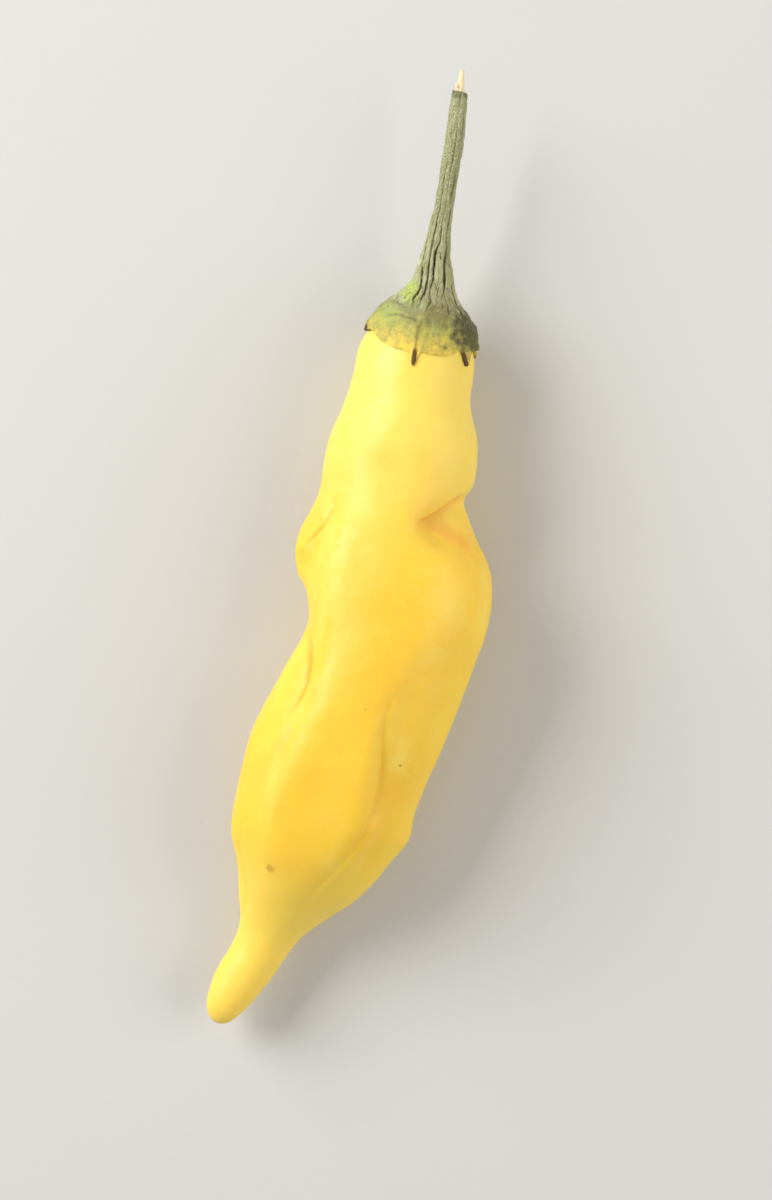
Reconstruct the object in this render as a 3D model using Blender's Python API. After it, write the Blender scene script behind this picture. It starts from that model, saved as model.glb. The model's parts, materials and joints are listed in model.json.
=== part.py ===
"""A yellow chilli pepper, picked, lying on its side.

Four pieces: the pod, the calyx that caps its shoulder, the ribbed stem, and the pale
wood that stands out of the stem where it tore off the plant.

The sizes below are millimetres, and each mesh is scaled by MM as it is finished. The
pod's tip points along -Y and the stem along +Y, +Z is up, and the pepper rests on
z = 0. The tables measure y from the calyx's rim. At the end the whole pepper is moved
so that the origin lies on the resting surface under the middle of its box.
"""

import math

import bmesh
import bpy
import numpy as np
from mathutils import Matrix, Vector

MM = 0.001
GAP = 0.3  # between two pieces that touch on the real pepper

# The pod's sections from tip to shoulder: y, then the left and right sides and the
# underside and top of the section there.
POD_SECTIONS = np.array(
    [
        (-86.3, -5.5, -1.75, 3.3, 6.9),
        (-84.7, -5.7, -1.3, 3.0, 7.2),
        (-82.6, -5.75, -0.15, 2.5, 7.6),
        (-79.6, -5.45, 1.25, 2.0, 7.9),
        (-76.6, -4.5, 2.3, 1.8, 8.1),
        (-73.5, -4.1, 3.6, 1.7, 8.8),
        (-70.4, -5.05, 6.2, 1.4, 10.6),
        (-67.2, -5.9, 9.0, 1.0, 12.7),
        (-64.1, -7.4, 10.75, 0.4, 14.6),
        (-61.0, -8.3, 12.0, -0.1, 16.0),
        (-59.0, -8.4, 12.9, -0.4, 16.7),
        (-55.0, -8.5, 13.1, -0.6, 17.6),
        (-49.0, -8.1, 14.0, -0.5, 18.3),
        (-43.0, -6.6, 14.9, 0.0, 18.8),
        (-37.0, -5.2, 15.6, 0.4, 19.0),
        (-31.0, -6.4, 16.0, 0.5, 19.0),
        (-25.0, -7.0, 14.8, 0.5, 18.2),
        (-21.0, -7.3, 12.3, 0.3, 17.2),
        (-17.0, -7.9, 10.8, -0.2, 16.8),
        (-14.0, -8.1, 10.1, -0.6, 16.8),
        (-10.0, -7.4, 9.3, -0.5, 16.2),
        (-6.0, -7.1, 7.4, 0.3, 15.4),
        (-2.5, -7.3, 7.0, 0.9, 14.9),
        (0.0, -6.75, 6.5, 1.5, 14.6),
        (4.3, -6.4, 6.1, 2.1, 14.8),
    ]
)
TIP_ROUNDING = 2.4  # length of the rounded tip
SHOULDER_ROUNDING = 5.8  # length of the dome under the calyx
POD_AROUND = 48
POD_RINGS = 76
PROFILE_POINTS = 800  # for measuring lengths along the skin
REST_BLEND = 0.25  # the skin eases onto the resting plane from this far above it

# Folds in the pod's skin, as paths of (y, degrees round the section, depth). 0 degrees
# is the right side, 90 the top and 180 the left. The reaches say how far the fold pulls
# the skin in on its left and on its right, seen from outside along the path. A power
# of 1 gives a sharp crease and 2 a soft groove, and a negative depth is a ridge.
FOLDS = {
    "waist_crease": {
        "path": [
            (-16.8, -70, 0.0),
            (-16.9, -40, 1.2),
            (-17.1, -10, 1.8),
            (-17.5, 10, 1.9),
            (-18.2, 27, 2.0),
            (-19.1, 44, 2.0),
            (-20.0, 58, 1.5),
            (-20.8, 70, 0.6),
            (-21.2, 80, 0.0),
        ],
        "reach": (3.2, 0.9),
        "power": 1,
    },
    "side_lobe_crease": {
        "path": [
            (-19.8, 172, 0.0),
            (-20.9, 154, 0.5),
            (-22.4, 148, 0.75),
            (-24.2, 153, 0.85),
            (-26.2, 162, 0.9),
            (-28.5, 167, 0.8),
            (-30.5, 172, 0.75),
            (-32.2, 182, 0.6),
            (-32.8, 200, 0.4),
            (-32.4, 222, 0.0),
        ],
        "reach": (1.1, 0.8),
        "power": 1,
    },
    "left_fold": {
        "path": [
            (-34.5, 194, 0.0),
            (-36.5, 174, 0.6),
            (-38.5, 151, 0.8),
            (-41.0, 138, 0.85),
            (-44.0, 129, 0.8),
            (-48.0, 127, 0.75),
            (-52.0, 130, 0.7),
            (-57.0, 138, 0.6),
            (-62.0, 141, 0.5),
            (-66.0, 153, 0.45),
            (-70.0, 147, 0.3),
            (-73.5, 138, 0.0),
        ],
        "reach": (1.9, 1.1),
        "power": 1,
    },
    "right_groove": {
        "path": [
            (-35.0, 65, 0.0),
            (-40.0, 66, 0.3),
            (-43.5, 67, 0.6),
            (-46.0, 66, 0.8),
            (-49.0, 60, 0.85),
            (-54.0, 50, 0.85),
            (-58.0, 47, 0.75),
            (-62.0, 46, 0.6),
            (-65.5, 57, 0.4),
            (-69.0, 58, 0.25),
            (-73.0, 46, 0.0),
        ],
        "reach": (2.2, 1.2),
        "power": 2,
    },
    "left_ridge": {
        "path": [
            (-20.0, 124, 0.0),
            (-24.0, 132, -0.4),
            (-29.0, 139, -0.6),
            (-34.0, 136, -0.6),
            (-40.0, 125, -0.5),
            (-46.0, 118, -0.5),
            (-52.0, 117, -0.5),
            (-58.0, 124, -0.4),
            (-64.0, 128, 0.0),
        ],
        "reach": (2.4, 2.4),
        "power": 2,
    },
    "right_ridge": {
        "path": [
            (-44.0, 80, 0.0),
            (-48.0, 75, -0.4),
            (-53.0, 68, -0.5),
            (-58.0, 65, -0.5),
            (-62.0, 64, -0.3),
            (-65.0, 76, 0.0),
        ],
        "reach": (1.8, 1.8),
        "power": 2,
    },
    "under_left_groove": {
        "path": [
            (-8.0, 236, 0.0),
            (-18.0, 228, 0.7),
            (-27.0, 238, 0.5),
            (-38.0, 226, 0.8),
            (-50.0, 222, 0.8),
            (-60.0, 230, 0.6),
            (-70.0, 238, 0.0),
        ],
        "reach": (2.0, 1.4),
        "power": 2,
    },
    "under_right_groove": {
        "path": [
            (-10.0, 306, 0.0),
            (-20.0, 318, 0.7),
            (-31.0, 316, 0.6),
            (-43.0, 324, 0.8),
            (-54.0, 318, 0.7),
            (-64.0, 310, 0.4),
            (-72.0, 318, 0.0),
        ],
        "reach": (1.5, 2.2),
        "power": 2,
    },
}

# Swellings and hollows of the pod: y, degrees, length and width of the patch, height.
SWELLINGS = [
    (-27.0, 188, 4.6, 2.5, 2.2),  # the small lobe on the left side
    (-12.5, 35, 4.0, 4.0, 0.4),  # the shoulder's lobe above the waist
    (-22.2, 58, 2.0, 2.8, -1.0),  # the hollow below the waist crease
    (-24.2, 36, 1.8, 2.6, -0.4),
    (-30.0, 45, 4.5, 4.5, 0.5),  # the belly's lobe
    (-16.5, 100, 2.6, 2.4, -0.4),  # a dimple on top of the shoulder
    (-10.0, 60, 1.6, 3.5, -0.2),
    (-57.0, 92, 7.0, 3.0, -0.4),  # the flat between the two long ridges
    (-40.0, 158, 4.5, 2.6, 0.5),  # the long lobe left of the left fold
    (-59.0, 5, 2.0, 3.0, 0.35),  # the corner low on the right side
    (-48.0, 25, 5.0, 3.0, 0.3),
    (-67.0, 95, 4.0, 3.0, 0.3),
    (-33.0, 95, 3.0, 4.0, -0.25),
]

# The calyx is a thin cap over the pod's shoulder.
CALYX_AROUND = 72
CALYX_RINGS = 20
# y of the calyx's edge between its teeth, by degrees round.
CALYX_RIM = [
    (0, 0.4),
    (20, -0.1),
    (50, -1.0),
    (75, -1.7),
    (95, -1.9),
    (130, -1.7),
    (160, -0.9),
    (180, -0.2),
    (210, 0.3),
    (250, 0.6),
    (290, 0.7),
    (330, 0.6),
    (360, 0.4),
]
# Its thickness, by distance along the skin from the middle of its top.
CALYX_THICKNESS = [(0.0, 2.1), (2.2, 1.7), (3.2, 1.25), (4.8, 0.85), (7.0, 0.6), (9.0, 0.42)]
CALYX_SEAT = 5.2  # y of the flat that the stem's foot stands on
# The calyx is laid along the skin's normal, taken over these steps along and round it.
NORMAL_STEP = 0.05
NORMAL_TURN = 0.02
# The calyx's teeth: degrees round, length, half width in degrees, and lean in degrees.
CALYX_TEETH = [
    (165, 0.7, 10, 4),
    (95, 1.5, 8, 2),
    (65, 0.3, 9, 0),
    (35, 2.0, 8, -6),
    (-20, 1.4, 10, 5),
    (-85, 1.8, 9, -4),
    (-140, 1.5, 10, 6),
]
LEAN_REACH = 1.5  # a tooth's lean fades out this many half widths from its middle
CALYX_TOOTH_POINT = 0.8  # under 1 makes a tooth's sides bulge, and 1 makes them straight
CALYX_RIB = 0.22  # height of the rib that runs up from each tooth
# Share of a rib's height, by share of the way up from the rim to the middle.
CALYX_RIB_RUN = [(0.0, 0.3), (0.3, 1.0), (0.8, 1.0), (1.0, 0.0)]

# The stem's centreline from its foot on the calyx to its torn end: y, x, z, radius.
STEM_STATIONS = np.array(
    [
        (5.5, -0.35, 8.65, 3.2),
        (6.1, -0.38, 8.65, 2.9),
        (7.0, -0.45, 8.72, 2.5),
        (8.5, -0.62, 8.95, 2.02),
        (10.5, -0.85, 9.35, 1.55),
        (13.0, -1.12, 9.9, 1.28),
        (15.5, -1.32, 10.45, 1.12),
        (18.3, -1.68, 11.05, 1.05),
        (21.2, -1.96, 11.55, 1.05),
        (24.1, -2.2, 11.9, 1.01),
        (27.0, -2.7, 12.15, 0.95),
        (29.3, -3.0, 12.3, 0.86),
    ]
)
STEM_RIBS = 8
STEM_RIB_POINTS = 5  # points of the section for each rib
STEM_RIB_HEIGHT = 0.11  # share of the radius
STEM_RINGS = 30
STEM_TWIST = math.radians(35)  # of the ribs, from foot to end

# The torn wood: a round core in a plain hole in the stem's end, and its splinters.
CORE_RADIUS = 0.42
CORE_CLEARANCE = 0.15
CORE_DEPTH = 2.0  # how far the core goes into the stem
CORE_SIDES = 10
CORE_STANDS_OUT = 0.25  # of the stem's torn end
SPLINTER_ROOT = 0.4  # how far the splinters go back into the core
# Each splinter: sideways and upward offset of its root and of its tip from the core's
# axis, how far its tip stands out of the stem, and its radius at the root and the tip.
SPLINTERS = [
    ((0.05, 0.0), (-0.02, 0.05), 2.6, 0.36, 0.19),
    ((-0.2, 0.1), (-0.42, 0.16), 0.95, 0.22, 0.12),
    ((0.2, -0.12), (0.42, -0.2), 0.5, 0.2, 0.1),
]

# Colour, roughness, as the pepper shows in daylight.
MATERIALS = {
    "pod": ((0.92, 0.62, 0.09, 1.0), 0.38),
    "calyx": ((0.38, 0.38, 0.09, 1.0), 0.6),
    "stem": ((0.25, 0.29, 0.10, 1.0), 0.65),
    "stem_core": ((0.80, 0.62, 0.38, 1.0), 0.8),
}


def smooth_through(places, values, at):
    """A smooth curve through the values: a cubic in each gap between two places."""
    slopes = np.gradient(values, places)
    gap = np.clip(np.searchsorted(places, at) - 1, 0, len(places) - 2)
    width = places[gap + 1] - places[gap]
    t = (at - places[gap]) / width
    t2, t3 = t * t, t * t * t
    return (
        values[gap] * (2 * t3 - 3 * t2 + 1)
        + slopes[gap] * width * (t3 - 2 * t2 + t)
        + values[gap + 1] * (3 * t2 - 2 * t3)
        + slopes[gap + 1] * width * (t3 - t2)
    )


def section(y):
    """Middle (x, z) and half sizes (across, up) of the pod's section at y."""
    left, right, under, top = (
        smooth_through(POD_SECTIONS[:, 0], POD_SECTIONS[:, column], y)
        for column in (1, 2, 3, 4)
    )
    return (left + right) / 2, (under + top) / 2, (right - left) / 2, (top - under) / 2


def end_rounding(y):
    """Share of the section's full size that the rounded ends leave at y."""
    from_tip = np.clip((y - POD_SECTIONS[0, 0]) / TIP_ROUNDING, 0, 1)
    from_top = np.clip((POD_SECTIONS[-1, 0] - y) / SHOULDER_ROUNDING, 0, 1)
    return np.sqrt((1 - (1 - from_tip) ** 2) * (1 - (1 - from_top) ** 2))


def plain_skin(y, angle):
    """Points of the pod's skin before its folds and swellings."""
    x, z, across, up = section(y)
    share = end_rounding(y)
    return np.stack(
        [x + share * across * np.cos(angle), y, z + share * up * np.sin(angle)], axis=-1
    )


def outward(y, angle):
    """Unit vectors in the section's plane, away from its middle."""
    x, z, _, _ = section(y)
    away = plain_skin(y, angle) - np.stack([x, y, z], axis=-1)
    return away / np.maximum(np.linalg.norm(away, axis=-1, keepdims=True), 1e-6)


def fold_push(fold, points, away):
    """How far a fold moves each point outwards; a crease gives less than 0."""
    path_y, path_angle, depth = np.array(fold["path"], float).T
    path = plain_skin(path_y, np.radians(path_angle))
    nearest = np.full(len(points), np.inf)
    push = np.zeros(len(points))
    for i, (start, end) in enumerate(zip(path[:-1], path[1:])):
        run = end - start
        share = np.clip((points - start) @ run / (run @ run), 0, 1)
        offset = points - (start + share[:, None] * run)
        distance = np.linalg.norm(offset, axis=1)
        on_left = np.einsum("ij,ij->i", np.cross(run, offset), away) > 0
        reach = np.where(on_left, fold["reach"][0], fold["reach"][1])
        here = depth[i] + share * (depth[i + 1] - depth[i])
        closer = distance < nearest
        nearest[closer] = distance[closer]
        fall = np.exp(-((distance / reach) ** fold["power"]))
        push[closer] = (-here * fall)[closer]
    return push


def swelling_push(swelling, y, angle):
    """How far a swelling moves each point outwards."""
    at, degrees, length, width, height = swelling
    _, _, across, up = section(y)
    turn = (angle - math.radians(degrees) + math.pi) % (2 * math.pi) - math.pi
    round_it = turn * np.sqrt(across * up)
    return height * np.exp(-(((y - at) / length) ** 2) - (round_it / width) ** 2)


def pod_skin(y, angle):
    """Points of the pod's finished skin."""
    points = plain_skin(y, angle)
    away = outward(y, angle)
    push = sum(fold_push(fold, points, away) for fold in FOLDS.values())
    push += sum(swelling_push(swelling, y, angle) for swelling in SWELLINGS)
    points = points + away * (push * end_rounding(y))[:, None]
    points[:, 2] = rest_on_plane(points[:, 2])
    return points


def rest_on_plane(z):
    """Heights with all that hangs below the resting plane pressed flat onto it."""
    eased = (z + REST_BLEND) ** 2 / (4 * REST_BLEND)
    return np.where(z <= -REST_BLEND, 0.0, np.where(z < REST_BLEND, eased, z))


def pod_profile():
    """(distance along the skin from the tip, y), close together, tip to shoulder."""
    turn = np.linspace(0, math.pi, PROFILE_POINTS)
    low, high = POD_SECTIONS[0, 0], POD_SECTIONS[-1, 0]
    y = low + (high - low) * (1 - np.cos(turn)) / 2
    _, _, across, up = section(y)
    radius = end_rounding(y) * (across + up) / 2
    steps = np.hypot(np.diff(y), np.diff(radius))
    return np.concatenate([[0], np.cumsum(steps)]), y


def sphere_grid(around, rings):
    """A sphere, and each vertex's ring, counted from its -Y pole, and angle round Y."""
    ball = bmesh.new()
    bmesh.ops.create_uvsphere(ball, u_segments=around, v_segments=rings, radius=1)
    bmesh.ops.rotate(ball, verts=ball.verts, matrix=Matrix.Rotation(math.pi / 2, 3, "X"))
    corners = np.array([vertex.co for vertex in ball.verts])
    ring = np.rint(np.arccos(np.clip(-corners[:, 1], -1, 1)) / math.pi * rings)
    return ball, ring, np.arctan2(corners[:, 2], corners[:, 0])


def finish_mesh(name, grid, points, collection):
    """Moves the grid's vertices to the points, in millimetres, and makes the object."""
    for vertex, point in zip(grid.verts, points):
        vertex.co = Vector(point) * MM
    bmesh.ops.recalc_face_normals(grid, faces=grid.faces)
    mesh = bpy.data.meshes.new(name)
    grid.to_mesh(mesh)
    grid.free()
    mesh.shade_smooth()
    return add_object(name, mesh, collection)


def add_object(name, data, collection):
    piece = bpy.data.objects.new(name, data)
    collection.objects.link(piece)
    return piece


def make_pod(collection):
    grid, ring, angle = sphere_grid(POD_AROUND, POD_RINGS)
    distance, y = pod_profile()
    at = np.interp(ring / POD_RINGS * distance[-1], distance, y)
    return finish_mesh("pod", grid, pod_skin(at, angle), collection)


def rim_between_teeth(angle):
    degrees, y = np.array(CALYX_RIM, float).T
    return np.interp(np.degrees(angle) % 360, degrees, y)


def rim_of_calyx(angle):
    """y of the calyx's edge at each angle, with its teeth."""
    rim = rim_between_teeth(angle)
    for degrees, length, half_width, _ in CALYX_TEETH:
        turn = (np.degrees(angle) - degrees + 180) % 360 - 180
        rim -= length * np.clip(1 - np.abs(turn) / half_width, 0, 1) ** CALYX_TOOTH_POINT
    return rim


def rib_of_calyx(angle):
    """Height of the ribs that run from the teeth to the stem."""
    rib = np.zeros_like(angle)
    for degrees, _, half_width, _ in CALYX_TEETH:
        turn = (np.degrees(angle) - degrees + 180) % 360 - 180
        rib += CALYX_RIB * np.exp(-((turn / half_width) ** 2))
    return rib


def make_calyx(collection):
    """Its outer wall comes down from the stem to the rim and its inner wall goes back."""
    grid, ring, angle = sphere_grid(CALYX_AROUND, CALYX_RINGS)
    distance, y = pod_profile()
    from_top = distance[-1] - distance[::-1]
    from_top_y = y[::-1]
    middle = CALYX_RINGS / 2
    up_wall = np.abs(ring - middle) / middle
    rim_distance = np.interp(-rim_of_calyx(angle), -from_top_y, from_top)
    down = rim_distance * (1 - up_wall)
    thickness = np.interp(down, *np.array(CALYX_THICKNESS).T)
    thickness += rib_of_calyx(angle) * np.interp(up_wall, *np.array(CALYX_RIB_RUN).T)
    lift = GAP + thickness * np.select([ring > middle, ring == middle], [1.0, 0.5], 0.0)

    at = np.interp(down, from_top, from_top_y)
    leaning = angle + lean_of_teeth(angle, at)
    lower = np.interp(down + NORMAL_STEP, from_top, from_top_y)
    upper = np.interp(np.maximum(down - NORMAL_STEP, 0), from_top, from_top_y)
    along = pod_skin(upper, leaning) - pod_skin(lower, leaning)
    around = pod_skin(at, leaning + NORMAL_TURN) - pod_skin(at, leaning - NORMAL_TURN)
    normal = np.cross(along, around)
    normal[np.linalg.norm(normal, axis=1) < 1e-9] = (0, 1, 0)
    normal /= np.linalg.norm(normal, axis=1, keepdims=True)
    points = pod_skin(at, leaning) + normal * lift[:, None]
    points[:, 1] = np.minimum(points[:, 1], CALYX_SEAT)
    return finish_mesh("calyx", grid, points, collection)


def lean_of_teeth(angle, y):
    """Turn of the calyx's edge, in radians, that bends each tooth sideways."""
    lean = np.zeros_like(angle)
    for degrees, length, half_width, sideways in CALYX_TEETH:
        turn = (np.degrees(angle) - degrees + 180) % 360 - 180
        beside = np.clip(1 - np.abs(turn) / (LEAN_REACH * half_width), 0, 1)
        out = np.clip((rim_between_teeth(angle) - y) / length, 0, 1) ** 2
        lean += math.radians(sideways) * beside * out
    return lean


def make_stem(collection, cutters):
    """A ribbed section swept along the stem's centreline, with a hole for the core."""
    rib_points = STEM_RIBS * STEM_RIB_POINTS
    turns = np.arange(rib_points) * 2 * math.pi / rib_points
    height = 1 + STEM_RIB_HEIGHT * np.cos(STEM_RIBS * turns)
    ribbed = poly_curve(
        "stem_section",
        [(r * math.cos(t), r * math.sin(t), 0) for r, t in zip(height, turns)],
        cutters,
        closed=True,
    )

    share = np.linspace(0, 1, STEM_RINGS) ** 1.25
    y = STEM_STATIONS[0, 0] + share * np.ptp(STEM_STATIONS[:, 0])
    x, z, radius = (
        smooth_through(STEM_STATIONS[:, 0], STEM_STATIONS[:, column], y)
        for column in (1, 2, 3)
    )
    swept = poly_curve("stem_sweep", np.stack([x, y, z], axis=1), cutters)
    swept.data.bevel_mode = "OBJECT"
    swept.data.bevel_object = ribbed
    swept.data.use_fill_caps = True
    swept.data.twist_mode = "Z_UP"
    points = swept.data.splines[0].points
    points.foreach_set("radius", radius)
    points.foreach_set("tilt", share * STEM_TWIST)

    bpy.context.view_layer.update()
    graph = bpy.context.evaluated_depsgraph_get()
    mesh = bpy.data.meshes.new_from_object(swept.evaluated_get(graph))
    mesh.name = "stem"
    bpy.data.objects.remove(swept)
    weld_and_face_out(mesh)
    mesh.transform(Matrix.Scale(MM, 4))
    mesh.shade_smooth()
    stem = add_object("stem", mesh, collection)

    hole = add_cone("core_hole", cutters, core_place(-CORE_DEPTH - GAP), core_place(GAP),
                    CORE_RADIUS + CORE_CLEARANCE, CORE_RADIUS + CORE_CLEARANCE)
    for helper in (hole, ribbed):
        helper.hide_render = True
        helper.display_type = "WIRE"
    cut = stem.modifiers.new("core hole", "BOOLEAN")
    cut.operation = "DIFFERENCE"
    cut.object = hole
    return stem


def poly_curve(name, points, collection, closed=False):
    """A curve object with straight runs between the points."""
    curve = bpy.data.curves.new(name, "CURVE")
    curve.dimensions = "2D" if closed else "3D"
    spline = curve.splines.new("POLY")
    spline.points.add(len(points) - 1)
    for point, place in zip(spline.points, points):
        point.co = (*place, 1)
    spline.use_cyclic_u = closed
    return add_object(name, curve, collection)


def weld_and_face_out(mesh):
    """Joins a swept curve's loose caps to its sides."""
    shape = bmesh.new()
    shape.from_mesh(mesh)
    bmesh.ops.remove_doubles(shape, verts=shape.verts, dist=1e-4)
    bmesh.ops.recalc_face_normals(shape, faces=shape.faces)
    shape.to_mesh(mesh)
    shape.free()


def core_place(out, across=0.0, upward=0.0):
    """A point this far out of the stem's torn end, beside the core's axis."""
    end = Vector(STEM_STATIONS[-1, [1, 0, 2]])
    before = Vector(STEM_STATIONS[-2, [1, 0, 2]])
    axis = (end - before).normalized()
    side = axis.cross(Vector((0, 0, 1))).normalized()
    return end + axis * out + side * across + side.cross(axis) * upward


def add_cone(name, collection, low, high, low_radius, high_radius):
    """A closed cone or cylinder from low to high, both in millimetres."""
    axis = high - low
    turn = axis.to_track_quat("Z", "Y").to_matrix().to_4x4()
    shape = bmesh.new()
    bmesh.ops.create_cone(
        shape, cap_ends=True, cap_tris=True, segments=CORE_SIDES,
        radius1=low_radius, radius2=high_radius, depth=axis.length,
        matrix=Matrix.Translation((low + high) / 2) @ turn,
    )
    bmesh.ops.scale(shape, vec=(MM, MM, MM), verts=shape.verts)
    mesh = bpy.data.meshes.new(name)
    shape.to_mesh(mesh)
    shape.free()
    return add_object(name, mesh, collection)


def make_core(collection):
    """The core, with its splinters joined to it."""
    splinters = bpy.data.collections.new("splinters")
    bpy.context.scene.collection.children.link(splinters)
    for number, (root, tip, out, root_radius, tip_radius) in enumerate(SPLINTERS):
        add_cone(f"splinter_{number}", splinters, core_place(-SPLINTER_ROOT, *root),
                 core_place(out, *tip), root_radius, tip_radius)
    core = add_cone("stem_core", collection, core_place(-CORE_DEPTH), core_place(CORE_STANDS_OUT),
                    CORE_RADIUS, CORE_RADIUS)
    join = core.modifiers.new("splinters", "BOOLEAN")
    join.operation = "UNION"
    join.operand_type = "COLLECTION"
    join.collection = splinters
    bpy.context.view_layer.update()
    graph = bpy.context.evaluated_depsgraph_get()
    joined = bpy.data.meshes.new_from_object(core.evaluated_get(graph))
    core.modifiers.clear()
    core.data = joined
    for splinter in list(splinters.objects):
        bpy.data.objects.remove(splinter)
    bpy.data.collections.remove(splinters)
    return core


def add_material(piece):
    colour, roughness = MATERIALS[piece.name]
    material = bpy.data.materials.new(piece.name)
    material.use_nodes = True
    shader = material.node_tree.nodes["Principled BSDF"]
    shader.inputs["Base Color"].default_value = colour
    shader.inputs["Roughness"].default_value = roughness
    shader.inputs["Metallic"].default_value = 0.0
    piece.data.materials.clear()
    piece.data.materials.append(material)


def centre_on_origin(pieces, collection):
    """Parents the pieces to an empty that puts the middle of their box at x = y = 0."""
    bpy.context.view_layer.update()
    graph = bpy.context.evaluated_depsgraph_get()
    corners = np.array(
        [corner for piece in pieces for corner in piece.evaluated_get(graph).bound_box]
    )
    middle = (corners.min(axis=0) + corners.max(axis=0)) / 2
    pepper = add_object("chilli_pepper", None, collection)
    pepper.location = (-middle[0], -middle[1], 0)
    for piece in pieces:
        piece.parent = pepper


def main():
    for old in list(bpy.data.objects):
        bpy.data.objects.remove(old)
    collection = bpy.data.collections.new("chilli pepper")
    cutters = bpy.data.collections.new("cutters and profiles")
    for group in (collection, cutters):
        bpy.context.scene.collection.children.link(group)
    pieces = [
        make_pod(collection),
        make_calyx(collection),
        make_stem(collection, cutters),
        make_core(collection),
    ]
    for piece in pieces:
        add_material(piece)
    hole = bpy.data.objects["core_hole"]
    centre_on_origin(pieces, collection)
    hole.parent = bpy.data.objects["chilli_pepper"]


main()
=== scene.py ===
"""Dresses the solids of a yellow chilli pepper: its skin, calyx, ribbed stem and torn wood.

Places in the tables are millimetres from the middle of the calyx's rim, with the pod's
tip towards -Y. Those on the pod's upper side are given where the camera sees them.
"""

import json
import math

import bpy
import numpy as np
from bpy.props import FloatProperty, FloatVectorProperty, IntProperty, PointerProperty
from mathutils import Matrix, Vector, noise

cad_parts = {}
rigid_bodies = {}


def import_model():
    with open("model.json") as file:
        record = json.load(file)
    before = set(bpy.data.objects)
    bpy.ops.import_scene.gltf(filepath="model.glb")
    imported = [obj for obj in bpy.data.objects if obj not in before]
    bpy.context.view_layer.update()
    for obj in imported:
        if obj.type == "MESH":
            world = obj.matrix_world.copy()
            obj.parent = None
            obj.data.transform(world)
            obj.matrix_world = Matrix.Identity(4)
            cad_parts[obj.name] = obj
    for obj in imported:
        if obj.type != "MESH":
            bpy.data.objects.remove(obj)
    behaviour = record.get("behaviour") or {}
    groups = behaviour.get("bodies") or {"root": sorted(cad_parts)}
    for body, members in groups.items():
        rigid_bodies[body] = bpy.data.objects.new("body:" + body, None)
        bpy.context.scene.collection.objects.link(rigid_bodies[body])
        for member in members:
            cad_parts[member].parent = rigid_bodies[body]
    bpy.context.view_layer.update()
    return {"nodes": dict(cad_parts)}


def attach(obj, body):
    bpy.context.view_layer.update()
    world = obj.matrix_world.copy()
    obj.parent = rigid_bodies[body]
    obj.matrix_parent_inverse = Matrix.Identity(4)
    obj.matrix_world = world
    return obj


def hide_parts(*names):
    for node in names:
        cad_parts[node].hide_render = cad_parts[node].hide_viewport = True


bl_info = {
    "name": "Yellow chilli pepper",
    "version": (1, 0, 0),
    "blender": (4, 5, 0),
    "location": "3D View > Sidebar > Chilli",
    "description": "Skin, calyx, ribbed stem and torn wood for a chilli pepper's solids",
    "category": "Object",
}

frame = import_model()

MM = 0.001
# The middle of the calyx's rim in the frame, x and y in millimetres.
RIM_MIDDLE = np.array([-3.56, 27.2])

# The camera looks straight down on this place, from this far above it.
AIM = np.array([3.4, -31.33])
AIM_HEIGHT = 9.0
CAMERA_DISTANCE = 320.0

# Soft forms of the pod's upper side that its solid has larger or smaller. Each point is
# x, y and depth, and the reaches are how far the skin is moved on the left and on the
# right of the path.
SOFT_FORMS = [
    {  # the groove down the right, less wide than in the solid
        "path": [
            (8.2, -39.0, 0.0),
            (7.4, -43.0, -0.15),
            (7.3, -47.0, -0.25),
            (8.8, -55.0, -0.25),
            (7.9, -61.0, -0.2),
            (5.5, -65.5, -0.15),
            (2.6, -72.0, 0.0),
        ],
        "reach": (2.2, 1.4),
    },
    {  # the hollow under the shoulder's lobe
        "path": [(6.4, -21.8, 0.45), (8.0, -22.4, 0.75), (10.8, -22.6, 0.5)],
        "reach": (1.6, 1.3),
    },
    {  # the belly's lobe on the right
        "path": [(8.5, -26.5, -0.15), (10.5, -29.5, -0.15), (11.0, -33.0, -0.1)],
        "reach": (2.6, 2.6),
    },
    {  # the side below the small lobe
        "path": [
            (-8.3, -27.0, 0.0),
            (-8.3, -28.4, -0.1),
            (-8.2, -29.8, -0.4),
            (-8.0, -31.0, -0.95),
            (-7.6, -33.2, -1.5),
            (-7.2, -36.0, 0.0),
        ],
        "reach": (1.2, 2.0),
    },
    {  # the furrow inside the small lobe, less deep than in the solid
        "path": [(-6.0, -21.4, -0.25), (-6.3, -24.5, -0.4), (-7.6, -27.6, -0.3)],
        "reach": (0.9, 0.8),
    },
    {  # the fold down the left, less deep than in the solid
        "path": [
            (-4.6, -37.0, -0.1),
            (-3.5, -43.5, -0.25),
            (-4.8, -51.0, -0.1),
            (-6.0, -59.0, -0.1),
            (-5.6, -66.0, 0.0),
        ],
        "reach": (1.2, 1.1),
    },
]

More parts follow.
